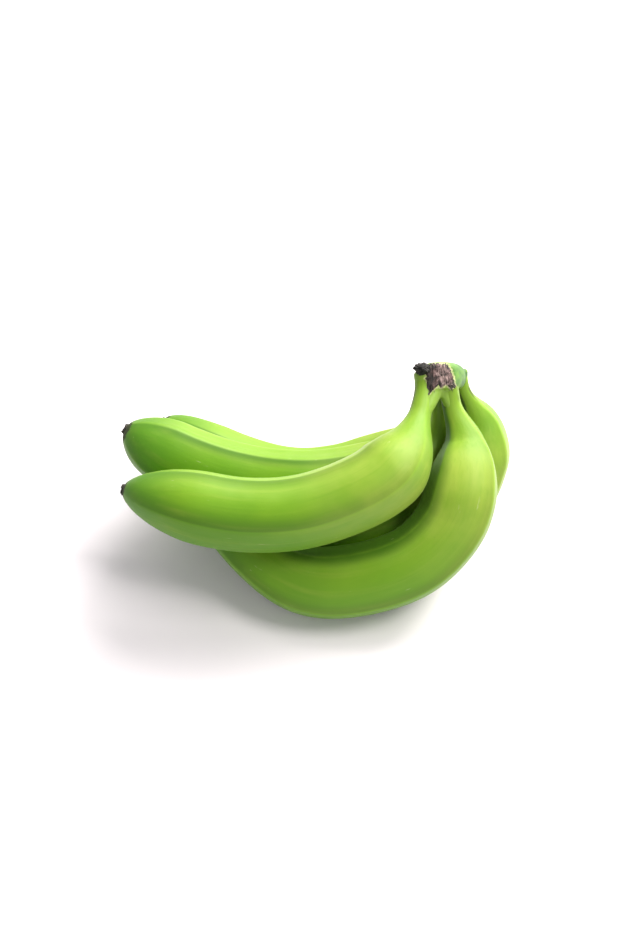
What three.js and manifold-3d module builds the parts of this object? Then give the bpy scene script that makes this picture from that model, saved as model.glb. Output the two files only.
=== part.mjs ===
// A hand of five unripe green plantains, cut from its bunch and lying on a surface.
//
// The fingers grow from one crown in two rows: three in the inner row and two in the outer row. The hand
// lies on the bellies of three fingers, with the crown and the two highest fingers held clear of the surface.
//
// Millimetres. +X is the side the crown lies on, +Y runs to the back and +Z is up. The origin is on the
// surface, under the middle of the hand's outer box.

import * as THREE from 'three';
import { mergeVertices } from 'three/addons/utils/BufferGeometryUtils.js';
import Module from 'manifold-3d';

const wasm = await Module();
wasm.setup();

// ---- Driving dimensions ----

// The side the whole hand turns towards a viewer, as an angle above the horizontal. Every peel ridge and the
// crown are turned from it.
const FACING_ANGLE = 55;

// Each centreline runs from inside the crown, down the stalk and along the finger to its blossom end.
// stalk and body are radii, neck says where the stalk starts and stops swelling, and taper is the length of
// the narrowing end. roll turns the ridges around the finger, in degrees.
const FINGERS = [
  {
    name: 'finger_inner_front', stalk: 6.5, body: 23.5, neck: [26, 74], taper: 57, roll: 0, rests: false,
    centreline: [
      [69, 49, 114], [69, 38, 109], [64, 17, 104], [56, -3, 99], [40, -20, 93],
      [-4, -35, 82], [-46, -36, 78], [-95, -26, 80], [-122, -18, 80],
    ],
  },
  {
    name: 'finger_inner_middle', stalk: 4.5, body: 23, neck: [17, 92], taper: 36, roll: 38, rests: false,
    centreline: [
      [77, 54, 104], [79, 43, 89], [78, 30, 70], [61, 16, 58], [34, 9, 55],
      [-4, 3, 54], [-49, 7, 56], [-92, 18, 65], [-124, 31, 78],
    ],
  },
  {
    name: 'finger_inner_back', stalk: 5, body: 22, neck: [16, 110], taper: 47, roll: 34, rests: true,
    centreline: [
      [79, 64, 93], [80, 61, 82], [82, 59, 54], [75, 55, 36], [48, 45, 25],
      [15, 35, 20], [-21, 33, 20], [-71, 47, 28], [-104, 65, 40],
    ],
  },
  {
    name: 'finger_outer_front', stalk: 6, body: 25, neck: [18, 82], taper: 105, roll: 34, rests: true,
    centreline: [
      [84, 47, 113], [87, 35, 98], [95, 18, 83], [96, -4, 74], [89, -27, 55],
      [64, -44, 36], [24, -52, 23.5], [-10, -50, 22.5], [-71, -20, 44],
    ],
  },
  {
    name: 'finger_outer_back', stalk: 4.5, body: 23.5, neck: [16, 69], taper: 140, roll: 38, rests: true,
    centreline: [
      [93, 60, 102], [95, 54, 92], [107, 45, 64], [106, 32, 42], [95, 15, 25],
      [65, 0, 19.5], [21, -13, 15.5], [-17, -18, 17],
    ],
  },
];

const STALK_SWELL = 5;                         // how far a stalk's radius grows before the body takes over
const RIDGE_ANGLES = [15, 111, 180, 249, 345]; // peel corners, from the inside of the finger's curve
const FACE_FULLNESS = 0.38;                    // 0 leaves the five faces flat, 1 makes them round
const RIDGE_SHARPNESS = 14;
const BLOSSOM_END_RADIUS = 3.4;

const REMNANT_LENGTH = 1.8;                    // dried flower left on each blossom end
const REMNANT_RADIUS = 3.2;
const FITTING_GAP = 0.35;                      // air between pieces that touch

const CROWN_FRONT = [79, 42, 120];             // centre of the cut face
const CROWN_BACK = [83, 70, 82];
const CROWN_HALF_WIDTH = [8.5, 15.5, 9];       // at the cut face, the middle and the back
const CROWN_HALF_HEIGHT = [8, 9.5, 6.5];
const CROWN_SQUARENESS = 2.8;
const HUSK_CENTRE = [69, 49, 117];             // dried flap that laps over the front stalk
const HUSK_HALF_SIZE = [5, 3, 5.5];

const FINGER_SIDES = 24;
const FINGER_STEPS = 36;
const CROWN_SIDES = 22;
const CROWN_STEPS = 14;

// ---- Directions ----

const degrees = THREE.MathUtils.degToRad;
const FACING = new THREE.Vector3(0, -Math.cos(degrees(FACING_ANGLE)), Math.sin(degrees(FACING_ANGLE)));
const CREST = new THREE.Vector3(0, Math.sin(degrees(FACING_ANGLE)), Math.cos(degrees(FACING_ANGLE)));

const centrelineOf = (points) => new THREE.CatmullRomCurve3(
  points.map((point) => new THREE.Vector3(...point)), false, 'centripetal',
);

// ---- Closed solids ----

// A closed solid around a curve. A sphere supplies the closed grid: its rows become places along the curve
// and its columns angles around it. radiusAt(distance, length, angle) gives the surface, reference is the
// direction that angle 90 turns towards, and growth makes the solid bigger all round.
function sweptSolid(curve, radiusAt, reference, sides, steps, growth = 0) {
  const grid = new THREE.SphereGeometry(1, sides, steps);
  const position = grid.attributes.position;
  const uv = grid.attributes.uv;
  const length = curve.getLength();
  const lastRing = steps - 1;

  for (let i = 0; i < position.count; i += 1) {
    const row = Math.round((1 - uv.getY(i)) * steps);
    const even = THREE.MathUtils.clamp((row - 1) / (lastRing - 1), 0, 1);
    const along = THREE.MathUtils.lerp(even, (1 - Math.cos(Math.PI * even)) / 2, 0.4);
    const angle = (i % (sides + 1)) / sides * 2 * Math.PI;
    const isPole = row === 0 || row === steps;

    const tangent = curve.getTangentAt(along);
    const inward = new THREE.Vector3().crossVectors(tangent, reference).normalize();
    const towards = new THREE.Vector3().crossVectors(inward, tangent);
    const radius = isPole ? 0 : radiusAt(along * length, length, angle) + growth;

    const point = curve.getPointAt(along);
    if (row <= 1) point.addScaledVector(tangent, -growth);
    if (row >= lastRing) point.addScaledVector(tangent, growth);
    point.addScaledVector(inward, radius * Math.cos(angle));
    point.addScaledVector(towards, radius * Math.sin(angle));
    position.setXYZ(i, point.x, point.y, point.z);
  }
  return toManifold(grid);
}

function toManifold(geometry) {
  const bare = geometry.clone();
  bare.deleteAttribute('normal');
  bare.deleteAttribute('uv');
  const merged = mergeVertices(bare, 1e-3);
  const corners = Array.from(merged.index.array);
  const triangles = [];
  for (let i = 0; i < corners.length; i += 3) {
    const [a, b, c] = corners.slice(i, i + 3);
    if (a !== b && b !== c && c !== a) triangles.push(a, b, c);
  }
  return new wasm.Manifold(new wasm.Mesh({
    numProp: 3,
    vertProperties: new Float32Array(merged.attributes.position.array),
    triVerts: new Uint32Array(triangles),
  }));
}

function toMesh(name, solid, material) {
  const source = solid.getMesh();
  const geometry = new THREE.BufferGeometry();
  geometry.setAttribute('position', new THREE.BufferAttribute(new Float32Array(source.vertProperties), 3));
  geometry.setIndex(new THREE.BufferAttribute(new Uint32Array(source.triVerts), 1));
  geometry.computeVertexNormals();
  const mesh = new THREE.Mesh(geometry, material);
  mesh.name = name;
  return mesh;
}

// ---- Peel shape ----

// The five faces between the ridges, each with its middle angle and its distance from the centreline.
const FACES = RIDGE_ANGLES.map((ridge, i) => {
  const next = RIDGE_ANGLES[(i + 1) % RIDGE_ANGLES.length];
  const span = (next - ridge + 360) % 360;
  const flatDistance = Math.cos(degrees(span / 2));
  return {
    middle: degrees(ridge + span / 2),
    distance: THREE.MathUtils.lerp(flatDistance, 1, FACE_FULLNESS),
  };
});

// The section's radius at an angle, before it is scaled so that its sharpest ridge reaches 1.
function fiveSided(angle) {
  const sum = FACES.reduce((total, face) => {
    const reach = Math.max(0, Math.cos(angle - face.middle) / face.distance);
    return total + reach ** RIDGE_SHARPNESS;
  }, 0);
  return sum ** (-1 / RIDGE_SHARPNESS);
}
const RIDGE_REACH = Math.max(...RIDGE_ANGLES.map((ridge) => fiveSided(degrees(ridge))));

// A finger's largest radius at a distance along it: a slim stalk, a neck, a full body and a tapered end.
function girth(finger, distance, length) {
  const [neckStart, neckEnd] = finger.neck;
  const inBody = THREE.MathUtils.smoothstep(distance, neckStart, neckEnd);
  const swell = STALK_SWELL * THREE.MathUtils.clamp(distance / neckEnd, 0, 1) ** 2;
  const radius = THREE.MathUtils.lerp(finger.stalk + swell, finger.body, inBody);
  const inTaper = THREE.MathUtils.clamp((distance - length + finger.taper) / finger.taper, 0, 1);
  return BLOSSOM_END_RADIUS + (radius - BLOSSOM_END_RADIUS) * (1 - inTaper ** 2) ** 0.7;
}

// How strongly the ridges show: hardly on the stalk, fully along the body, and fading at the blossom end.
function ridgeStrength(distance, length) {
  const along = distance / length;
  const body = THREE.MathUtils.clamp((along - 0.1) / 0.14, 0, 1);
  const end = THREE.MathUtils.clamp((1 - along) / 0.1, 0, 1);
  return 0.3 + 0.7 * body * end;
}

function fingerSolid(finger, growth = 0) {
  const radiusAt = (distance, length, angle) => {
    const section = fiveSided(angle - degrees(finger.roll)) / RIDGE_REACH;
    const ridged = 1 + (section - 1) * ridgeStrength(distance, length);
    return girth(finger, distance, length) * ridged;
  };
  const curve = centrelineOf(finger.centreline);
  return sweptSolid(curve, radiusAt, FACING, FINGER_SIDES, FINGER_STEPS, growth);
}

// ---- Pieces ----

// The hand's weight flattens the peel a little where a finger bears on the surface, so a resting finger is
// cut off level with it.
const ABOVE_SURFACE = toManifold(new THREE.BoxGeometry(600, 600, 400).translate(0, 0, 200));

const peelMaterial = (colour) => new THREE.MeshStandardMaterial({ color: colour, roughness: 0.42, metalness: 0 });
const PEEL_COLOURS = {
  finger_inner_front: 0x96c850,
  finger_inner_middle: 0x86c048,
  finger_inner_back: 0xa8d860,
  finger_outer_front: 0x85af37,
  finger_outer_back: 0x8fc04a,
};
const crownMaterial = new THREE.MeshStandardMaterial({ color: 0x6a5552, roughness: 0.9, metalness: 0 });
const remnantMaterial = new THREE.MeshStandardMaterial({ color: 0x2f2a22, roughness: 0.95, metalness: 0 });

function buildFinger(finger) {
  const whole = fingerSolid(finger);
  const solid = finger.rests ? whole.intersect(ABOVE_SURFACE) : whole;
  return toMesh(finger.name, solid, peelMaterial(PEEL_COLOURS[finger.name]));
}

// A short dried stub on the blossom end, square to the end of the finger.
function buildRemnant(finger) {
  const curve = centrelineOf(finger.centreline);
  const outline = [
    [0, 0], [0.8, 0], [1, 0.35], [0.85, 0.8], [0.45, 1], [0, 0.85],
  ].map(([across, along]) => new THREE.Vector2(across * REMNANT_RADIUS, along * REMNANT_LENGTH));
  const knob = new THREE.LatheGeometry(outline, 10);
  const outward = curve.getTangentAt(1);
  knob.applyQuaternion(new THREE.Quaternion().setFromUnitVectors(new THREE.Vector3(0, 1, 0), outward));
  const foot = curve.getPointAt(1).addScaledVector(outward, FITTING_GAP);
  knob.translate(foot.x, foot.y, foot.z);
  return toMesh(finger.name.replace('finger', 'floral_remnant'), toManifold(knob), remnantMaterial);
}

// The woody pad that joins the stalks: a lofted block with a flat cut face, a dried flap over the front
// stalk, and a socket around each stalk.
function buildCrown() {
  const quadratic = ([start, middle, end], along) => {
    const bulge = middle - (start + end) / 2;
    return THREE.MathUtils.lerp(start, end, along) + bulge * 4 * along * (1 - along);
  };
  const radiusAt = (distance, length, angle) => {
    const along = distance / length;
    const acrossPart = Math.abs(Math.cos(angle)) / quadratic(CROWN_HALF_WIDTH, along);
    const heightPart = Math.abs(Math.sin(angle)) / quadratic(CROWN_HALF_HEIGHT, along);
    return (acrossPart ** CROWN_SQUARENESS + heightPart ** CROWN_SQUARENESS) ** (-1 / CROWN_SQUARENESS);
  };
  const axis = new THREE.LineCurve3(new THREE.Vector3(...CROWN_FRONT), new THREE.Vector3(...CROWN_BACK));
  const pad = sweptSolid(axis, radiusAt, CREST, CROWN_SIDES, CROWN_STEPS);

  const husk = new THREE.SphereGeometry(1, 14, 8).scale(...HUSK_HALF_SIZE);
  husk.rotateX(degrees(FACING_ANGLE - 90));
  husk.translate(...HUSK_CENTRE);

  const sockets = FINGERS.map((finger) => fingerSolid(finger, FITTING_GAP));
  const cut = sockets.reduce((solid, socket) => solid.subtract(socket), pad.add(toManifold(husk)));
  const largest = cut.decompose().reduce((a, b) => (a.volume() > b.volume() ? a : b));
  return toMesh('crown', largest, crownMaterial);
}

const group = new THREE.Group();
group.add(buildCrown());
for (const finger of FINGERS) {
  group.add(buildFinger(finger));
  group.add(buildRemnant(finger));
}

export default group;
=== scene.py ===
"""A hand of five unripe green plantains lying on a pale surface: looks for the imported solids."""
import math

import bmesh
import bpy
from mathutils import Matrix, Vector, noise
from mathutils.bvhtree import BVHTree
from mathutils.kdtree import KDTree


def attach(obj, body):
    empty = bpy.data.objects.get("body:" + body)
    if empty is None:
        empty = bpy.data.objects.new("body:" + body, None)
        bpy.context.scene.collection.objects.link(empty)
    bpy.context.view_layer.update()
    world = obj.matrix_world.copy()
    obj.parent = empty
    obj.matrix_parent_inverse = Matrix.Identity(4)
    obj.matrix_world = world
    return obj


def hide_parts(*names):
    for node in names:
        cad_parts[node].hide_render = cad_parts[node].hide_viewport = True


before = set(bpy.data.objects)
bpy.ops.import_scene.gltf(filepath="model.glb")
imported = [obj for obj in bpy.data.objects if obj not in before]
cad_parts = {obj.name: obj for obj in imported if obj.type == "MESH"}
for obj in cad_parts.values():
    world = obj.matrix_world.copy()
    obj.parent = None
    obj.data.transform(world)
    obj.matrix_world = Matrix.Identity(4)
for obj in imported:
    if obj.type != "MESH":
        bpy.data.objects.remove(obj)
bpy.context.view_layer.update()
MM = 0.001

# Viewer: stands over the blossom-end side and looks down on the hand. FACING points from the hand to the
# viewer, and CREST is the way up across the view.
VIEW_DOWN = math.radians(55)
VIEW_TARGET = Vector((-1, 19, 46)) * MM
VIEW_DISTANCE = 1247.4 * MM
FACING = Vector((0, -math.cos(VIEW_DOWN), math.sin(VIEW_DOWN)))
CREST = Vector((0, math.sin(VIEW_DOWN), math.cos(VIEW_DOWN)))


def set_out(name, data):
    """Adds an object that holds this data to the scene."""
    made = bpy.data.objects.new(name, data)
    bpy.context.scene.collection.objects.link(made)
    return made


camera_data = bpy.data.cameras.new("viewer")
camera_data.lens = 72
camera_data.sensor_width = 36
camera = set_out("viewer", camera_data)
camera.location = VIEW_TARGET + FACING * VIEW_DISTANCE
camera.rotation_euler = (math.pi / 2 - VIEW_DOWN, 0, 0)
bpy.context.scene.camera = camera


# Studio: a white table top in a room with pale walls. A big soft window lamp hangs over the back right of
# the hand, a small lamp over its right end, and a faint one stands low in front.
class Wire:
    """One output socket of a node tree. Sums on it add the tree's Math nodes."""

    def __init__(self, socket):
        self.socket = socket

    def sum(self, operation, *values):
        return Tree(self.socket.id_data).math(operation, *values)

    def __add__(self, other):
        return self.sum("ADD", self, other)

    def __radd__(self, other):
        return self.sum("ADD", other, self)

    def __sub__(self, other):
        return self.sum("SUBTRACT", self, other)

    def __rsub__(self, other):
        return self.sum("SUBTRACT", other, self)

    def __mul__(self, other):
        return self.sum("MULTIPLY", self, other)

    def __rmul__(self, other):
        return self.sum("MULTIPLY", other, self)

    def __truediv__(self, other):
        return self.sum("DIVIDE", self, other)

    def __rtruediv__(self, other):
        return self.sum("DIVIDE", other, self)

    def __pow__(self, other):
        return self.sum("POWER", self, other)


class Tree:
    """A node tree that is being written."""

    def __init__(self, tree):
        self.tree = tree

    def node(self, kind, settings, sockets, output=0):
        """Any node: its type, its settings, what its sockets take, and the output or outputs wanted."""
        made = self.tree.nodes.new(kind)
        for name, value in settings.items():
            if name == "stops":
                ramp = made.color_ramp.elements
                while len(ramp) < len(value):
                    ramp.new(1)
                for stop, (place, colour) in zip(ramp, value):
                    stop.position = place
                    stop.color = (*colour, 1)
            else:
                setattr(made, name, value)
        for name, value in sockets.items():
            if isinstance(value, Wire):
                self.tree.links.new(value.socket, made.inputs[name])
            else:
                made.inputs[name].default_value = value
        if isinstance(output, tuple):
            return [Wire(made.outputs[one]) for one in output]
        return Wire(made.outputs[output]) if made.outputs else None

    def math(self, operation, *values):
        return self.node("ShaderNodeMath", {"operation": operation}, dict(enumerate(values)))

    def ramp(self, value, low, high):
        """0 below low, 1 above high and smooth between them."""
        settings = {"interpolation_type": "SMOOTHSTEP"}
        return self.node("ShaderNodeMapRange", settings, {"Value": value, "From Min": low, "From Max": high})

    def noise(self, place, scale, detail=2.0, roughness=0.5):
        sockets = {"Vector": place, "Scale": scale, "Detail": detail, "Roughness": roughness}
        return self.node("ShaderNodeTexNoise", {}, sockets)

    def mix(self, factor, first, second):
        """Blends two colours."""
        colours = {"Factor": factor, 6: first, 7: second}
        return self.node("ShaderNodeMix", {"data_type": "RGBA"}, colours, 2)

    def vector(self, operation, first, second, output=0):
        return self.node("ShaderNodeVectorMath", {"operation": operation}, {0: first, 1: second}, output)

    def scaled(self, vector, factor):
        return self.node("ShaderNodeVectorMath", {"operation": "SCALE"}, {0: vector, "Scale": factor})

    def axes(self, vector):
        """The x, y and z of a vector."""
        return self.node("ShaderNodeSeparateXYZ", {}, {0: vector}, (0, 1, 2))

    def joined(self, x, y, z=0.0):
        return self.node("ShaderNodeCombineXYZ", {}, {0: x, 1: y, 2: z})

    def object_place(self):
        return self.node("ShaderNodeTexCoord", {}, {}, "Object")

    def painted(self, name, output="Fac"):
        """A value that the mesh carries."""
        return self.node("ShaderNodeAttribute", {"attribute_name": name}, {}, output)


def srgb(red, green, blue):
    """A colour as a shader takes it, from the 0 to 255 values of a colour chart."""
    light = [((c / 255 + 0.055) / 1.055) ** 2.4 if c > 10 else c / 3294.6 for c in (red, green, blue)]
    return (*light, 1)


def finish_material(tree, colour, roughness, height=None, depth=0.0, constants=None):
    """A Principled surface. height is what raises the bumps, and depth how far in metres."""
    sockets = {"Base Color": colour, "Roughness": roughness, **(constants or {})}
    if height is not None:
        sockets["Normal"] = tree.node("ShaderNodeBump", {}, {"Height": height, "Distance": depth})
    surface = tree.node("ShaderNodeBsdfPrincipled", {}, sockets)
    tree.node("ShaderNodeOutputMaterial", {}, {"Surface": surface})


def new_material(name):
    material = bpy.data.materials.new(name)
    material.use_nodes = True
    material.node_tree.nodes.clear()
    return material, Tree(material.node_tree)


table_top, tree = new_material("white_table_top")
TABLE_WHITE = (0.83, 0.78, 0.83, 1)
TABLE_BRIGHT_WHITE = (0.85, 0.80, 0.85, 1)
table_tone = tree.mix(tree.noise(tree.object_place(), 6.0), TABLE_WHITE, TABLE_BRIGHT_WHITE)
finish_material(tree, table_tone, 0.75)

TABLE_HALF = 3.0
TABLE_DROP = 0.3 * MM
table_mesh = bpy.data.meshes.new("table_top")
table_mesh.from_pydata(
    [(x * TABLE_HALF, y * TABLE_HALF, -TABLE_DROP) for x, y in ((-1, -1), (1, -1), (1, 1), (-1, 1))],
    [], [(0, 1, 2, 3)],
)
table_mesh.materials.append(table_top)
table = set_out("table_top", table_mesh)

room = bpy.data.worlds.new("pale_room")
room.use_nodes = True
walls = room.node_tree.nodes["Background"]
walls.inputs["Color"].default_value = (1, 1, 1, 1)
walls.inputs["Strength"].default_value = 0.50
bpy.context.scene.world = room
bpy.context.scene.view_settings.view_transform = "Standard"


LAMP_DISTANCE = 1.3


def hang_lamp(name, direction, size, power, tint):
    lamp_data = bpy.data.lights.new(name, "AREA")
    lamp_data.color = tint
    lamp_data.size = size
    lamp_data.energy = power
    lamp = set_out(name, lamp_data)
    lamp.location = Vector(direction).normalized() * LAMP_DISTANCE
    lamp.rotation_euler = Vector(direction).to_track_quat("Z", "Y").to_euler()


hang_lamp("window_lamp", (0.42, 0.56, 0.71), 1.00, 41.0, (1.0, 0.98, 0.93))
hang_lamp("ceiling_lamp", (0.52, -0.10, 0.85), 0.45, 9.0, (1.0, 0.99, 0.92))
hang_lamp("front_lamp", (0.12, -0.95, 0.22), 0.90, 4.0, (1.0, 1.0, 1.0))


# Fingers: five fruits, each a slim stalk that swells into a neck, a full five-sided body and a narrowed
# blossom end. Smooth waxy peel, grown as one skin over the ridges, pressed flat where they bear on the
# table. Each stalk grows on the crown.
# shaded sets how much painted shade darkens each finger's inner side.
FINGERS = {
    "finger_inner_front": dict(
        stalk=6.5, body=23.5, neck=(26, 74), taper=57,
        roll=6, keel=0.25, fullness=0.68, yellowing=0.12, shaded=0.0,
        centreline=[(69, 49, 114), (69, 38, 109), (64, 17, 104), (56, -3, 99), (40, -20, 93),
                    (-4, -35, 82), (-46, -36, 78), (-95, -26, 80), (-122, -18, 80)],
    ),
    "finger_inner_middle": dict(
        stalk=4.5, body=23, neck=(17, 92), taper=36,
        roll=29, keel=0.9, fullness=0.5, yellowing=0.06, shaded=0.0,
        centreline=[(77, 54, 104), (79, 43, 89), (78, 30, 70), (61, 16, 58), (34, 9, 55),
                    (-4, 3, 54), (-49, 7, 56), (-92, 18, 65), (-124, 31, 78)],
    ),
    "finger_inner_back": dict(
        stalk=5, body=22, neck=(16, 110), taper=47,
        roll=34, keel=0.25, fullness=0.72, yellowing=0.12, shaded=0.0,
        centreline=[(79, 64, 93), (80, 61, 82), (82, 59, 54), (75, 55, 36), (48, 45, 25),
                    (15, 35, 20), (-21, 33, 20), (-71, 47, 28), (-104, 65, 40)],
    ),
    "finger_outer_front": dict(
        stalk=6, body=25, neck=(18, 82), taper=105,
        roll=28, keel=0.7, fullness=0.55, yellowing=0.16, shaded=0.85,
        centreline=[(84, 47, 113), (87, 35, 98), (95, 18, 83), (94.8, -4, 74), (87.2, -26.5, 55),
                    (64, -44, 36), (24, -52, 23.5), (-10, -50, 22.5), (-71, -20, 44)],
    ),
    "finger_outer_back": dict(
        stalk=4.5, body=23.5, neck=(16, 69), taper=140,
        roll=30, keel=1.1, fullness=0.68, yellowing=0.04, shaded=0.6,
        centreline=[(93, 60, 102), (95, 54, 92), (107, 45, 64), (106, 32, 42), (95, 15, 25),
                    (65, 0, 19.5), (21, -13, 15.5), (-17, -18, 17)],
    ),
}
STALK_SWELL = 5
BLOSSOM_END_RADIUS = 3.4
RIDGE_ANGLES = (15, 111, 180, 249, 345)
KEEL_WIDTH = 2.4 * MM
TALLEST_KEEL = 1.1
MAIN_FACE_BULGE = 1.30
SIDE_FACE_BULGE = 0.75
RIDGE_SHARPNESS = 48
PEEL_SIDES = 200
PEEL_RINGS = 210
CENTRELINE_STEPS = 30
PATTERN_STEP = 0.7


def smooth_route(points, steps):
    """A centripetal curve through the points, as close dots."""
    knots = [Vector(p) * MM for p in points]
    knots = [2 * knots[0] - knots[1], *knots, 2 * knots[-1] - knots[-2]]
    dots = []
    for a, b, c, d in zip(knots, knots[1:], knots[2:], knots[3:]):
        t1 = (b - a).length ** 0.5
        t2 = t1 + (c - b).length ** 0.5
        t3 = t2 + (d - c).length ** 0.5
        for step in range(steps):
            t = t1 + (t2 - t1) * step / steps
            ab = a.lerp(b, t / t1)
            bc = b.lerp(c, (t - t1) / (t2 - t1))
            cd = c.lerp(d, (t - t2) / (t3 - t2))
            abc = ab.lerp(bc, t / t2)
            bcd = bc.lerp(cd, (t - t1) / (t3 - t1))
            dots.append(abc.lerp(bcd, (t - t1) / (t2 - t1)))
    return [*dots, knots[-2]]


def new_growth(name, inputs, result):
    """A geometry tree. Returns it with the wires of its named inputs."""
    group = bpy.data.node_groups.new(name, "GeometryNodeTree")
    for title, kind in inputs.items():
        group.interface.new_socket(title, in_out="INPUT", socket_type="NodeSocket" + kind)
    group.interface.new_socket(result, in_out="OUTPUT", socket_type="NodeSocketGeometry")
    tree = Tree(group)
    return group, tree, dict(zip(inputs, tree.node("NodeGroupInput", {}, {}, tuple(inputs))))


FINGER_SIZES = (
    "Stalk radius", "Body radius", "Neck start", "Neck end", "Taper", "Ridge turn", "Face fullness", "Keel",
    "Yellowing", "Painted shade", "Seed",
)
grow_inputs = {"Centreline": "Geometry", **dict.fromkeys(FINGER_SIZES, "Float"), "Peel": "Material"}
grow, tree, given = new_growth("grow_finger", grow_inputs, "Finger")
route = tree.node("GeometryNodeMeshToCurve", {}, {"Mesh": given["Centreline"]})
length = tree.node("GeometryNodeCurveLength", {}, {"Curve": route})
blank = tree.node(
    "GeometryNodeMeshCylinder", {"fill_type": "TRIANGLE_FAN"},
    {"Vertices": PEEL_SIDES, "Side Segments": PEEL_RINGS, "Fill Segments": 6, "Radius": 1.0, "Depth": 1.0},
)
x, y, z = tree.axes(tree.node("GeometryNodeInputPosition", {}, {}))
angle = tree.math("ARCTAN2", y, x)
reach = tree.math("MINIMUM", (x * x + y * y) ** 0.5, 1.0)
even = tree.node("ShaderNodeClamp", {}, {"Value": z + 0.5})
along = even * 0.6 + (1 - tree.math("COSINE", even * math.pi)) * 0.2
distance = along * length

centre, tangent = tree.node(
    "GeometryNodeSampleCurve", {"mode": "FACTOR", "use_all_curves": False},
    {"Curves": route, "Factor": along}, ("Position", "Tangent"),
)
sideways = tree.vector("CROSS_PRODUCT", tangent, FACING)
inward = tree.node("ShaderNodeVectorMath", {"operation": "NORMALIZE"}, {0: sideways})
towards = tree.vector("CROSS_PRODUCT", inward, tangent)

in_body = tree.ramp(distance, given["Neck start"], given["Neck end"])
swell = tree.math("MINIMUM", distance / given["Neck end"], 1.0) ** 2 * (STALK_SWELL * MM)
stalk_girth = given["Stalk radius"] + swell
full_girth = stalk_girth + (given["Body radius"] - stalk_girth) * in_body
in_taper = tree.node("ShaderNodeClamp", {}, {"Value": (distance - length) / given["Taper"] + 1.0})
end_girth = BLOSSOM_END_RADIUS * MM
girth = (full_girth - end_girth) * (1.0 - in_taper * in_taper) ** 0.7 + end_girth

turned = angle - given["Ridge turn"]
face_sum = None
for ridge_angle, following in zip(RIDGE_ANGLES, (*RIDGE_ANGLES[1:], RIDGE_ANGLES[0] + 360)):
    half = math.radians(following - ridge_angle) / 2
    from_middle = turned - (math.radians(ridge_angle) + half)
    bulge = half * (MAIN_FACE_BULGE if ridge_angle == RIDGE_ANGLES[0] else SIDE_FACE_BULGE)
    shift = math.sin(half) / tree.math("TANGENT", given["Face fullness"] * bulge) - math.cos(half)
    offset = tree.math("SINE", from_middle) * shift
    bow_squared = shift * shift + shift * (2 * math.cos(half)) + 1
    reached = (bow_squared - offset * offset) ** 0.5 - tree.math("COSINE", from_middle) * shift
    face = reached ** -RIDGE_SHARPNESS
    face_sum = face if face_sum is None else face_sum + face
ridge_reach = 2 ** (-1 / RIDGE_SHARPNESS)
section = face_sum ** (-1 / RIDGE_SHARPNESS) / ridge_reach
nearest = None
for ridge_angle in RIDGE_ANGLES:
    closeness = tree.math("COSINE", turned - math.radians(ridge_angle))
    nearest = closeness if nearest is None else tree.math("MAXIMUM", nearest, closeness)
from_ridge = tree.math("ARCCOSINE", tree.math("MINIMUM", nearest, 1.0)) * girth
ridged_here = tree.ramp(along, 0.04, 0.24) * (1.0 - tree.ramp(along, 0.88, 1.0)) * 0.75 + 0.25
ridged = (section - 1.0) * ridged_here + 1.0
keel = given["Keel"] * ridged_here * tree.math("POWER", 0.5, from_ridge / KEEL_WIDTH)

turn_in, turn_up = tree.math("COSINE", angle), tree.math("SINE", angle)
pattern_place = tree.joined(turn_in * girth, turn_up * girth, distance + given["Seed"])
UNEVENNESS = 0.9 * MM
FINE_UNEVENNESS = 0.16 * MM
uneven = (tree.noise(pattern_place, 26.0, 1.0) - 0.5) * UNEVENNESS * in_body
fine = (tree.noise(pattern_place, 150.0, 2.0) - 0.5) * FINE_UNEVENNESS
radius = (girth * ridged + keel + uneven + fine) * reach
across = tree.vector("ADD", centre, tree.scaled(inward, radius * turn_in))
surface_place = tree.vector("ADD", across, tree.scaled(towards, radius * turn_up))
pressed = tree.vector("MAXIMUM", surface_place, (-TABLE_HALF, -TABLE_HALF, 0))

main_face_middle = math.radians(RIDGE_ANGLES[0] + RIDGE_ANGLES[1]) / 2
marked = blank
for attribute, kind, value in (
    ("peel_place", "FLOAT_VECTOR", pattern_place),
    ("from_crown", "FLOAT", distance),
    ("from_blossom", "FLOAT", length - distance),
    ("from_ridge", "FLOAT", from_ridge),
    ("yellowing", "FLOAT", given["Yellowing"]),
    ("ridge_wear", "FLOAT", given["Keel"] / (TALLEST_KEEL * MM)),
    ("shaded", "FLOAT", given["Painted shade"]),
    ("main_face", "FLOAT", tree.math("COSINE", turned - main_face_middle)),
    ("turn", "FLOAT_VECTOR", tree.joined(turn_in, turn_up)),
):
    marked = tree.node(
        "GeometryNodeStoreNamedAttribute", {"data_type": kind, "domain": "POINT"},
        {"Geometry": marked, "Name": attribute, "Value": value},
    )
shaped = tree.node("GeometryNodeSetPosition", {}, {"Geometry": marked, "Position": pressed})
outward = tree.node("GeometryNodeFlipFaces", {}, {"Mesh": shaped})
soft = tree.node("GeometryNodeSetShadeSmooth", {}, {"Geometry": outward})
whole = tree.node("GeometryNodeRealizeInstances", {}, {"Geometry": soft})
skinned = tree.node("GeometryNodeSetMaterial", {}, {"Geometry": whole, "Material": given["Peel"]})
tree.node("NodeGroupOutput", {}, {0: skinned})

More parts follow.
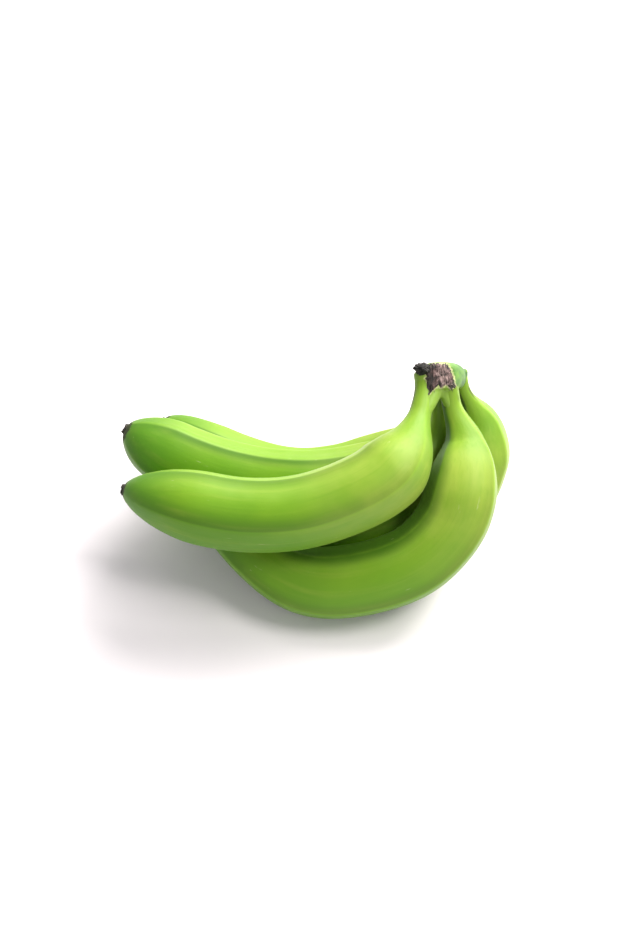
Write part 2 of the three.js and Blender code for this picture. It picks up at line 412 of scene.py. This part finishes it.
peel, tree = new_material("green_peel")
peel_place = tree.painted("peel_place", "Vector")
from_crown = tree.painted("from_crown")
from_blossom = tree.painted("from_blossom")
from_ridge = tree.painted("from_ridge")
drawn_out = tree.vector("MULTIPLY", peel_place, (1, 1, 0.05))
inner_side = tree.axes(tree.painted("turn", "Vector"))[0]
blotches = tree.noise(tree.object_place(), 22.0, 3.0)
clouds = tree.noise(peel_place, 45.0, 3.0)
streaks = tree.noise(drawn_out, 650.0, 3.0, 0.6)
broad_streaks = tree.noise(drawn_out, 190.0, 2.0)
DEEP_GREEN = srgb(70, 126, 0)
LEAF_GREEN = srgb(101, 146, 10)
RIDGE_SHADE_GREEN = srgb(48, 98, 0)
SHADED_GREEN = srgb(44, 90, 0)
PALE_RIDGE_AND_HIGHLIGHT = srgb(160, 196, 84)
HIGHLIGHT_GREEN = srgb(144, 172, 82)
SCUFF_GREY = srgb(176, 184, 128)
YELLOW_LIME = srgb(152, 166, 66)
STALK_GREEN = srgb(116, 148, 40)
BLOSSOM_GREEN = srgb(76, 126, 30)
DRIED_BROWN = srgb(50, 50, 30)
# Painted light: the inner side of each finger is painted a lighter green, mixed with random blotches. On the
# upper fingers that side faces the lamps.
lit_side_and_blotches = tree.ramp(inner_side + (blotches - 0.5) * 2.4, -0.9, 1.3)
peel_colour = tree.mix(lit_side_and_blotches, DEEP_GREEN, LEAF_GREEN)
# Painted highlight: a paler green laid over the inner side of each finger, the side that faces the lamps on
# the upper fingers.
peel_colour = tree.mix(tree.ramp(inner_side + (clouds - 0.5) * 0.6, 0.2, 1.1) * 0.35, peel_colour, HIGHLIGHT_GREEN)
on_body = tree.ramp(from_crown, 0.03, 0.08)
ridge_wear = tree.painted("ridge_wear")
# Painted shade: a darker green band beside each ridge on its main-face side, wider where the keel is low.
ridge_shade_end = 0.0150 - ridge_wear * 0.0088
painted_ridge_shade = tree.ramp(from_ridge, 0.0002, 0.0014) * (1 - tree.ramp(from_ridge, 0.0016, ridge_shade_end))
painted_ridge_shade = painted_ridge_shade * tree.ramp(tree.painted("main_face"), 0.655, 0.69)
peel_colour = tree.mix(painted_ridge_shade * on_body * 0.8, peel_colour, RIDGE_SHADE_GREEN)
peel_colour = tree.mix(tree.painted("yellowing"), peel_colour, YELLOW_LIME)
flush = tree.ramp(from_crown, 0.03, 0.06) * (1 - tree.ramp(from_crown, 0.070, 0.150))
peel_colour = tree.mix(flush * (tree.ramp(clouds, 0.25, 0.75) * 0.35 + 0.25), peel_colour, YELLOW_LIME)
peel_colour = tree.mix((1 - tree.ramp(from_crown, 0.02, 0.06)) * 0.8, peel_colour, STALK_GREEN)
peel_colour = tree.mix(tree.ramp(broad_streaks, 0.45, 0.8) * 0.2, peel_colour, YELLOW_LIME)
peel_colour = tree.mix(tree.ramp(streaks, 0.5, 0.8) * 0.2, peel_colour, DEEP_GREEN)
blossom_fade = 1 - tree.ramp(from_blossom, 0.004, 0.045)
peel_colour = tree.mix(blossom_fade * 0.7, peel_colour, BLOSSOM_GREEN)
# Paler green along the ridges, stronger on high keels: partly pale worn ridge lines, partly painted
# highlight, which is brightest on the stalks.
on_ridge = 1 - tree.ramp(from_ridge + (streaks - 0.5) * 0.0006, 0.0002, 0.0020)
on_stalk = tree.ramp(from_crown, 0.014, 0.020) * (1 - tree.ramp(from_crown, 0.042, 0.060))
peel_colour = tree.mix(on_ridge * ridge_wear * (on_stalk * 0.3 + 0.14), peel_colour, PALE_RIDGE_AND_HIGHLIGHT)
# Painted shade: the inner side of the two outer fingers, which lies under the inner fingers, is painted a
# darker green.
painted_inner_shade = tree.ramp(inner_side + (clouds - 0.5) * 0.2, 0.45, 0.85) * tree.painted("shaded")
peel_colour = tree.mix(painted_inner_shade, peel_colour, SHADED_GREEN)
scuffs = tree.ramp(tree.noise(tree.vector("MULTIPLY", peel_place, (1, 1, 0.22)), 330.0, 3.0), 0.70, 0.76)
peel_colour = tree.mix(scuffs * 0.35, peel_colour, SCUFF_GREY)
specks = tree.ramp(tree.noise(peel_place, 1300.0, 2.0), 0.72, 0.80)
peel_colour = tree.mix(specks * 0.45, peel_colour, DRIED_BROWN)
dried_edge = 1 - tree.ramp(from_ridge + (streaks - 0.5) * 0.001, 0.0004, 0.0014)
dried_edge = dried_edge * (1 - tree.ramp(from_crown, 0.016, 0.034))
peel_colour = tree.mix(dried_edge * tree.ramp(clouds, 0.4, 0.55) * 0.7, peel_colour, DRIED_BROWN)
rim_edge = from_blossom + (clouds - 0.5) * 0.004 + (streaks - 0.5) * 0.003
dried_rim = 1 - tree.ramp(rim_edge, 0.0016, 0.0028)
peel_colour = tree.mix(dried_rim * 0.9, peel_colour, DRIED_BROWN)
peel_roughness = streaks * 0.12 + 0.42 + dried_rim * 0.25
WAXY_PEEL = {
    "Specular IOR Level": 0.24,
    "Sheen Weight": 0.03, "Sheen Roughness": 0.45, "Sheen Tint": (0.95, 1.0, 0.80, 1),
    "Subsurface Weight": 0.06, "Subsurface Radius": (0.004, 0.006, 0.002), "Subsurface Scale": 1.0,
}
finish_material(tree, peel_colour, peel_roughness, streaks * 0.6 + broad_streaks, 0.12 * MM, WAXY_PEEL)


def solid_from(name, base, group, values):
    """Runs a node group on a mesh and returns its result as a plain mesh object."""
    source = set_out(name + "_source", base)
    modifier = source.modifiers.new("build", "NODES")
    modifier.node_group = group
    for item in group.interface.items_tree:
        if item.in_out == "INPUT" and item.name in values:
            modifier[item.identifier] = values[item.name]
    ready = source.evaluated_get(bpy.context.evaluated_depsgraph_get())
    made = bpy.data.meshes.new_from_object(ready)
    source.modifiers.remove(modifier)
    bpy.data.objects.remove(source)
    return set_out(name, made)


def hand_over(piece, node):
    """Every piece rides on the one body and takes the place of a solid."""
    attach(piece, "root")
    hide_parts(node)


finger_pieces = {}
finger_routes = {}
for seed, (name, finger) in enumerate(FINGERS.items()):
    dots = smooth_route(finger["centreline"], CENTRELINE_STEPS)
    thread = bpy.data.meshes.new(name + "_centreline")
    thread.from_pydata(dots, [(i, i + 1) for i in range(len(dots) - 1)], [])
    values = {
        "Stalk radius": finger["stalk"] * MM, "Body radius": finger["body"] * MM,
        "Neck start": finger["neck"][0] * MM, "Neck end": finger["neck"][1] * MM,
        "Taper": finger["taper"] * MM, "Ridge turn": math.radians(finger["roll"]),
        "Face fullness": finger["fullness"], "Keel": finger["keel"] * MM,
        "Yellowing": finger["yellowing"], "Painted shade": finger["shaded"], "Seed": 1.0 + PATTERN_STEP * seed,
        "Peel": peel,
    }
    piece = solid_from("peel_" + name, thread, grow, values)
    hand_over(piece, name)
    finger_pieces[name] = piece
    finger_routes[name] = dots

# Crown: the cushion of green flesh where the five stalks run together, with a smooth fillet round each of
# them. Its front was cut from the stem with a knife.
CROWN_FRONT = Vector((79, 42, 120)) * MM
CROWN_BACK = Vector((83, 70, 82)) * MM
CROWN_HALF_WIDTH = (8.5, 15.5, 9)
CROWN_HALF_HEIGHT = (8, 9.5, 6.5)
CROWN_SQUARENESS = 2.8
CROWN_STEPS = 24
CROWN_SIDES = 64
TUBE_SIDES = 40
COLLAR_LENGTH = 15 * MM
COLLAR_SWELL = 0.7 * MM
COLLAR_TUCK = 0.5 * MM
FLESH_GRAIN = 0.7 * MM
FILLET_ROUNDS = 12
RIGHT = Vector((1, 0, 0))


def skin_rings(rings):
    """Points and faces of a closed skin over a row of rings, with a fan of triangles at each end."""
    count = len(rings[0])
    points = [point for ring in rings for point in ring]
    faces = []
    for row in range(len(rings) - 1):
        for i in range(count):
            near, far = row * count + i, row * count + (i + 1) % count
            faces.append((near, far, far + count, near + count))
    for row, turn_over in ((0, True), (len(rings) - 1, False)):
        middle = sum(rings[row], Vector()) / count
        points.append(middle)
        for i in range(count):
            fan = (row * count + i, row * count + (i + 1) % count, len(points) - 1)
            faces.append(fan[::-1] if turn_over else fan)
    return points, faces


def spokes(heading, count):
    """Unit vectors that point out from a route, all the way round it."""
    side = heading.orthogonal().normalized()
    other = heading.cross(side)
    turns = [2 * math.pi * i / count for i in range(count)]
    return [side * math.cos(turn) + other * math.sin(turn) for turn in turns]


def through_three(values, t):
    """A bow through three values, at 0, a half and 1."""
    return values[0] * (1 - t) * (1 - 2 * t) + values[1] * 4 * t * (1 - t) + values[2] * t * (2 * t - 1)


def superellipse(turn, power):
    c, s = math.cos(turn), math.sin(turn)
    return math.copysign(abs(c) ** (2 / power), c), math.copysign(abs(s) ** (2 / power), s)


def new_piece(name, points, faces, material):
    mesh = bpy.data.meshes.new(name)
    mesh.from_pydata(points, [], faces)
    shape = bmesh.new()
    shape.from_mesh(mesh)
    bmesh.ops.recalc_face_normals(shape, faces=shape.faces)
    shape.to_mesh(mesh)
    shape.free()
    mesh.polygons.foreach_set("use_smooth", [True] * len(mesh.polygons))
    mesh.materials.append(material)
    return set_out(name, mesh)


flesh_points, flesh_faces = [], []


def add_flesh(rings):
    """Adds a closed lump to the flesh."""
    start = len(flesh_points)
    points, faces = skin_rings(rings)
    flesh_points.extend(points)
    flesh_faces.extend(tuple(start + corner for corner in face) for face in faces)


cushion = []
for step in range(CROWN_STEPS + 1):
    t = step / CROWN_STEPS
    ring = []
    for i in range(CROWN_SIDES):
        sideways, upward = superellipse(2 * math.pi * i / CROWN_SIDES, CROWN_SQUARENESS)
        spread = RIGHT * sideways * through_three(CROWN_HALF_WIDTH, t) * MM
        rise = CREST * upward * through_three(CROWN_HALF_HEIGHT, t) * MM
        ring.append(CROWN_FRONT.lerp(CROWN_BACK, t) + spread + rise)
    cushion.append(ring)
add_flesh(cushion)

# Collars of flesh: each stalk leaves the cushion in a collar a little thicker than itself. The collar narrows
# on its way down until it is lost inside the stalk.
for name, finger in FINGERS.items():
    walked = 0
    collar = []
    dots = finger_routes[name]
    for dot, following in zip(dots, dots[1:]):
        share = walked / COLLAR_LENGTH
        girth_here = finger["stalk"] * MM + COLLAR_SWELL * (1 - share) ** 2 - COLLAR_TUCK * share
        heading = (following - dot).normalized()
        collar.append([dot + spoke * girth_here for spoke in spokes(heading, TUBE_SIDES)])
        walked += (following - dot).length
        if walked > COLLAR_LENGTH:
            break
    add_flesh(collar)

# Webs of flesh: under the front of the cushion they join the two front stalks in a narrow V. Both start at
# one root under the scar, and each ends on its own stalk.
WEBS = (("finger_inner_front", 38, 5.0, 4.4), ("finger_outer_front", 38, 4.1, 2.6))
WEB_ROOT = CROWN_FRONT + (RIGHT * -0.6 + CREST * -4.6 + FACING * -7.0) * MM
WEB_STEPS = 12
for name, reach_down, root_girth, foot_girth in WEBS:
    walked = 0
    dots = finger_routes[name]
    for foot, following in zip(dots, dots[1:]):
        walked += (following - foot).length
        if walked > reach_down * MM:
            break
    web = []
    web_spokes = spokes((foot - WEB_ROOT).normalized(), TUBE_SIDES)
    for step in range(WEB_STEPS + 1):
        t = step / WEB_STEPS
        girth_here = (root_girth + (foot_girth - root_girth) * t) * MM
        web.append([WEB_ROOT.lerp(foot, t) + spoke * girth_here for spoke in web_spokes])
    add_flesh(web)

flesh_green, tree = new_material("green_crown_flesh")
spot_on_hand = tree.object_place()
from_cut = tree.painted("from_cut")
mottle = tree.noise(spot_on_hand, 160.0, 3.0)
fine_mottle = tree.noise(spot_on_hand, 700.0, 3.0)
FLESH_DEEP = srgb(44, 94, 10)
FLESH_LIGHT = srgb(86, 132, 26)
CUT_CREAM = srgb(196, 196, 140)
side_spot = tree.axes(spot_on_hand)[0]
mottled = tree.mix(tree.ramp(mottle, 0.3, 0.7), FLESH_DEEP, FLESH_LIGHT)
smooth_green = tree.mix(tree.ramp(mottle, 0.2, 0.8) * 0.2, STALK_GREEN, LEAF_GREEN)
height_up = tree.vector("DOT_PRODUCT", spot_on_hand, CREST, 1) - CROWN_FRONT.dot(CREST)
mottled_here = tree.ramp(side_spot + (mottle - 0.5) * 0.006, 0.081, 0.088)
mottled_here = mottled_here * tree.ramp(height_up, -0.009, -0.004)
flesh_colour = tree.mix(mottled_here, smooth_green, mottled)
cream = 1 - tree.ramp(from_cut + (fine_mottle - 0.5) * 0.0016, 0.0002, 0.0012)
flesh_colour = tree.mix(cream * 0.8, flesh_colour, CUT_CREAM)
finish_material(tree, flesh_colour, fine_mottle * 0.2 + 0.45, mottle + fine_mottle * 0.4, 0.3 * MM)

flesh = new_piece("crown_flesh", flesh_points, flesh_faces, flesh_green)
grain = flesh.modifiers.new("grow_together", "REMESH")
grain.mode = "VOXEL"
grain.voxel_size = FLESH_GRAIN
soften = flesh.modifiers.new("fillet", "SMOOTH")
soften.iterations = FILLET_ROUNDS
ready = flesh.evaluated_get(bpy.context.evaluated_depsgraph_get())
flesh_mesh = bpy.data.meshes.new_from_object(ready)
flesh.modifiers.clear()
flesh.data = flesh_mesh
flesh_mesh.polygons.foreach_set("use_smooth", [True] * len(flesh_mesh.polygons))
flesh_mesh.materials.clear()
flesh_mesh.materials.append(flesh_green)
hand_over(flesh, "crown")

# Scar: the cut face of the crown, dried to a thick purple-brown scab with a ragged edge. Strands of the stem
# stand up in it as upright grooves, and tongues of it run down over the first stalks.
SCAR_OUTLINE = (
    (-10.2, 7.2), (-5.0, 8.6), (-0.6, 8.2), (4.5, 7.9), (6.8, 2.5), (9.0, -3.6), (9.6, -7.0), (7.0, -8.6),
    (3.8, -5.8), (0.6, -7.7), (-1.9, -6.4), (-5.1, -9.0), (-8.6, -13.4), (-9.3, -7.7), (-9.6, 0.6),
)
SCAR_THICKNESS = 1.1 * MM
SCAR_DEEPEST = -7 * MM
SCAR_RAY_START = 40 * MM
SCAR_SINK = 0.35 * MM
SCAR_WALL = 2 * MM
SCAR_STEPS = 16
SCAR_RINGS = 44
GROOVE_DEPTH = 1.3 * MM

everything = bmesh.new()
for piece in (flesh, *finger_pieces.values()):
    everything.from_mesh(piece.data)
ground = BVHTree.FromBMesh(everything)
everything.free()

edge = []
for (x0, y0), (x1, y1) in zip(SCAR_OUTLINE, (*SCAR_OUTLINE[1:], SCAR_OUTLINE[0])):
    for step in range(SCAR_STEPS):
        t = step / SCAR_STEPS
        x, y = x0 + (x1 - x0) * t, y0 + (y1 - y0) * t
        ragged = 1 + 0.10 * noise.noise(Vector((x * 0.9, y * 0.9, 4)))
        ragged += 0.05 * noise.noise(Vector((x * 3, y * 3, 9)))
        edge.append((x * ragged * MM, y * ragged * MM))

depth_rows = []
for row in range(SCAR_RINGS + 1):
    share = row / SCAR_RINGS
    depths = []
    for x, y in edge:
        above = CROWN_FRONT + RIGHT * x * share + CREST * y * share + FACING * SCAR_RAY_START
        hit = ground.ray_cast(above, -FACING)[0]
        depth = (hit - CROWN_FRONT).dot(FACING) if hit else SCAR_DEEPEST
        depths.append(max(depth, SCAR_DEEPEST))
    depth_rows.append(depths)
for smoothing in range(3):
    for row in range(1, SCAR_RINGS + 1):
        depths = depth_rows[row]
        inner = depth_rows[row - 1]
        depth_rows[row] = [
            (depths[i - 1] + depths[i] + depths[(i + 1) % len(depths)] + inner[i]) / 4
            for i in range(len(depths))
        ]
scar_rings = []
scar_places = []
for row in range(1, SCAR_RINGS + 1):
    share = row / SCAR_RINGS
    ring = []
    for (x, y), depth in zip(edge, depth_rows[row]):
        x, y = x * share, y * share
        groove = noise.noise(Vector((x * 900, y * 110, 2)))
        groove += 0.5 * noise.noise(Vector((x * 2100, y * 260, 7)))
        lump = noise.noise(Vector((x * 260, y * 260, 5)))
        lift = SCAR_THICKNESS * (1 - share ** 8) - SCAR_SINK
        lift += (groove * 0.5 + lump * 0.5) * GROOVE_DEPTH * (1 - share ** 6)
        ring.append(CROWN_FRONT + RIGHT * x + CREST * y + FACING * (depth + lift))
        scar_places.append((x, y, 1 - share))
    scar_rings.append(ring)
scar_rings.append([point - FACING * SCAR_WALL for point in scar_rings[-1]])
scar_places += [(*place[:2], 0) for place in scar_places[-len(edge):]]
points, faces = skin_rings(scar_rings)
scar_places += [(0, 0, 1), (0, 0, 0)]

scab, tree = new_material("dried_crown_scar")
scar_place = tree.painted("scar_place", "Vector")
across_scar, up_scar = tree.axes(scar_place)[:2]
strands = tree.noise(tree.vector("MULTIPLY", scar_place, (1, 0.24, 0)), 1000.0, 4.0, 0.7)
patches = tree.noise(tree.vector("MULTIPLY", scar_place, (1, 1, 0)), 260.0, 3.0)
specks = tree.noise(tree.vector("MULTIPLY", scar_place, (1, 0.5, 0)), 2600.0, 3.0, 0.7)
CHARRED = srgb(34, 30, 28)
PURPLE_BROWN = srgb(104, 78, 76)
PINK_GREY = srgb(186, 160, 156)
MOULD_GREEN = srgb(38, 44, 24)
scar_colour = tree.mix(tree.ramp(strands + (patches - 0.5) * 1.1, 0.3, 0.7), CHARRED, PURPLE_BROWN)
pale_middle = tree.ramp(across_scar + (patches - 0.5) * 0.012, -0.004, 0.0)
pale_middle = pale_middle * (1 - tree.ramp(across_scar, 0.003, 0.007))
pale_grain = tree.ramp(strands + (patches - 0.5) * 0.6, 0.42, 0.66)
scar_colour = tree.mix(pale_middle * pale_grain * 0.85, scar_colour, PINK_GREY)
charred_side = 1 - tree.ramp(across_scar + (patches - 0.5) * 0.008, -0.007, -0.003)
scar_colour = tree.mix(charred_side * 0.75, scar_colour, CHARRED)
low_corner = tree.ramp(across_scar - up_scar, 0.008, 0.013)
scar_colour = tree.mix(low_corner * 0.8, scar_colour, MOULD_GREEN)
scar_colour = tree.mix(tree.ramp(specks, 0.56, 0.75) * 0.35, scar_colour, PINK_GREY)
finish_material(tree, scar_colour, strands * 0.3 + 0.6, strands + specks * 0.5, 0.6 * MM)

scar = new_piece("crown_scar", points, faces, scab)
kept_places = scar.data.attributes.new("scar_place", "FLOAT_VECTOR", "POINT")
kept_places.data.foreach_set("vector", [value for place in scar_places for value in place])

rim = KDTree(len(edge))
for i, point in enumerate(scar_rings[-2]):
    rim.insert(point, i)
rim.balance()
cut_distance = flesh.data.attributes.new("from_cut", "FLOAT", "POINT")
cut_distance.data.foreach_set("value", [rim.find(vertex.co)[2] for vertex in flesh.data.vertices])
hand_over(scar, "crown")

# Strands: loose dry fibres of the stem. They lie down over the scar, pointing roughly along the cut stalks.
STRAND_DENSITY = 3.2e5
STRAND_LENGTH = 3.4 * MM
STRAND_RADIUS = 0.16 * MM
scatter, tree, given = new_growth(
    "scatter_strands",
    {"Surface": "Geometry", "Density": "Float", "Length": "Float", "Radius": "Float", "Seed": "Int",
     "Fibre": "Material"},
    "Strands",
)
lean_to_front = tree.vector("DOT_PRODUCT", tree.node("GeometryNodeInputNormal", {}, {}), FACING, 1)
outer_side = tree.math("GREATER_THAN", lean_to_front, 0.3)
roots = tree.node(
    "GeometryNodeDistributePointsOnFaces", {},
    {"Mesh": given["Surface"], "Selection": outer_side, "Density": given["Density"], "Seed": given["Seed"]},
)
blade = tree.node(
    "GeometryNodeMeshCone", {"fill_type": "TRIANGLE_FAN"},
    {"Vertices": 5, "Side Segments": 4, "Depth": given["Length"],
     "Radius Top": given["Radius"] * 0.2, "Radius Bottom": given["Radius"]},
)
smooth_blade = tree.node("GeometryNodeSetShadeSmooth", {}, {"Geometry": blade})
scattered = tree.node(
    "FunctionNodeRandomValue", {"data_type": "FLOAT_VECTOR"},
    {0: (-0.35, -0.35, -0.30), 1: (0.35, 0.35, 0.40), 8: given["Seed"]},
)
lying = tree.vector("ADD", tree.vector("ADD", -CREST, FACING * 0.16), scattered)
turned_down = tree.node("FunctionNodeAlignRotationToVector", {"axis": "Z"}, {"Vector": lying})
grown = tree.node(
    "FunctionNodeRandomValue", {"data_type": "FLOAT_VECTOR"},
    {0: (0.5, 0.5, 0.35), 1: (1.3, 1.3, 1.0), 8: given["Seed"] + 3},
)
stand = tree.node(
    "GeometryNodeInstanceOnPoints", {},
    {"Points": roots, "Instance": smooth_blade, "Rotation": turned_down, "Scale": grown},
)
whole = tree.node("GeometryNodeRealizeInstances", {}, {"Geometry": stand})
skinned = tree.node("GeometryNodeSetMaterial", {}, {"Geometry": whole, "Material": given["Fibre"]})
tree.node("NodeGroupOutput", {}, {0: skinned})

fibre, tree = new_material("dry_stem_fibre")
spot_on_hand = tree.object_place()
fibre_tone = tree.noise(spot_on_hand, 500.0, 2.0)
FIBRE_DARK = srgb(52, 40, 38)
FIBRE_PALE = srgb(186, 160, 154)
pale_fibre = tree.ramp(fibre_tone, 0.44, 0.68) * tree.ramp(tree.axes(spot_on_hand)[0], 0.0735, 0.0775)
finish_material(tree, tree.mix(pale_fibre, FIBRE_DARK, FIBRE_PALE), 0.8)
strand_sizes = {
    "Density": STRAND_DENSITY, "Length": STRAND_LENGTH, "Radius": STRAND_RADIUS, "Seed": 4, "Fibre": fibre,
}
loose_strands = solid_from("crown_strands", scar.data.copy(), scatter, strand_sizes)
hand_over(loose_strands, "crown")

# Husk: a black withered flap of stem left on the top of the scar. It curls over the first inner stalk.
HUSK_CENTRE = CROWN_FRONT + (RIGHT * -11.2 + CREST * 4.4 + FACING * -3.6) * MM
HUSK_HALF_SIZE = Vector((6.0, 3.8, 5.6)) * MM
husk_shape = bmesh.new()
bmesh.ops.create_icosphere(husk_shape, subdivisions=6, radius=1)
for vertex in husk_shape.verts:
    lean = vertex.co.normalized()
    crumple = 1 + 0.34 * noise.noise(lean * 1.7 + Vector((3, 1, 0))) + 0.16 * noise.noise(lean * 5)
    crumple += 0.07 * noise.noise(lean * 13)
    size = lean * crumple
    vertex.co = (
        HUSK_CENTRE + RIGHT * size.x * HUSK_HALF_SIZE.x + CREST * size.y * HUSK_HALF_SIZE.y
        + FACING * size.z * HUSK_HALF_SIZE.z
    )
husk_mesh = bpy.data.meshes.new("crown_husk")
husk_shape.to_mesh(husk_mesh)
husk_shape.free()
husk_mesh.polygons.foreach_set("use_smooth", [True] * len(husk_mesh.polygons))

withered, tree = new_material("withered_husk")
rough_spots = tree.noise(tree.object_place(), 520.0, 4.0, 0.65)
HUSK_BLACK = srgb(22, 20, 18)
HUSK_ASH = srgb(98, 93, 86)
husk_colour = tree.mix(tree.ramp(rough_spots, 0.52, 0.74), HUSK_BLACK, HUSK_ASH)
finish_material(tree, husk_colour, rough_spots * 0.3 + 0.6, rough_spots, 0.9 * MM)
husk_mesh.materials.append(withered)
hand_over(set_out("crown_husk", husk_mesh), "crown")

# Floral remnants: the withered stub of the flower at each blossom end. It is a dark, lobed, brittle knob
# with a pit in the middle.
REMNANT_LENGTH = 1.4 * MM
REMNANT_RADIUS = 3.4 * MM
REMNANT_ROOT = 1.6 * MM
REMNANT_PROFILE = (
    (1.00, -1.0), (1.06, -0.4), (1.04, 0.0), (1.08, 0.35), (0.98, 0.70), (0.90, 0.95), (0.78, 1.05),
    (0.60, 0.90), (0.42, 0.55), (0.25, 0.30), (0.10, 0.25),
)
REMNANT_SIDES = 72

remnant_black, tree = new_material("withered_floral_remnant")
brittle = tree.noise(tree.object_place(), 900.0, 4.0, 0.65)
REMNANT_DARK = srgb(30, 29, 22)
REMNANT_BROWN = srgb(78, 72, 52)
remnant_colour = tree.mix(tree.ramp(brittle, 0.48, 0.70), REMNANT_DARK, REMNANT_BROWN)
finish_material(tree, remnant_colour, brittle * 0.3 + 0.6, brittle, 0.6 * MM)

for seed, name in enumerate(FINGERS):
    tip = finger_routes[name][-1]
    heading = (tip - finger_routes[name][-2]).normalized()
    rings = []
    for spread, lift in REMNANT_PROFILE:
        ring = []
        for i, spoke in enumerate(spokes(heading, REMNANT_SIDES)):
            turn = 2 * math.pi * i / REMNANT_SIDES
            lobe = 1 + 0.10 * abs(math.cos(2.5 * turn + seed)) * spread
            wobble = noise.noise(Vector((math.cos(turn) * 2 + seed * 5, math.sin(turn) * 2, lift * 1.5)))
            reach = REMNANT_RADIUS * spread * lobe * (0.93 + 0.16 * wobble)
            rise = lift * (REMNANT_LENGTH if lift > 0 else REMNANT_ROOT) * (1 + 0.5 * wobble)
            ring.append(tip + spoke * reach + heading * rise)
        rings.append(ring)
    points, faces = skin_rings(rings)
    which = name[len("finger"):]
    stub = new_piece("remnant" + which, points, faces, remnant_black)
    hand_over(stub, "floral_remnant" + which)
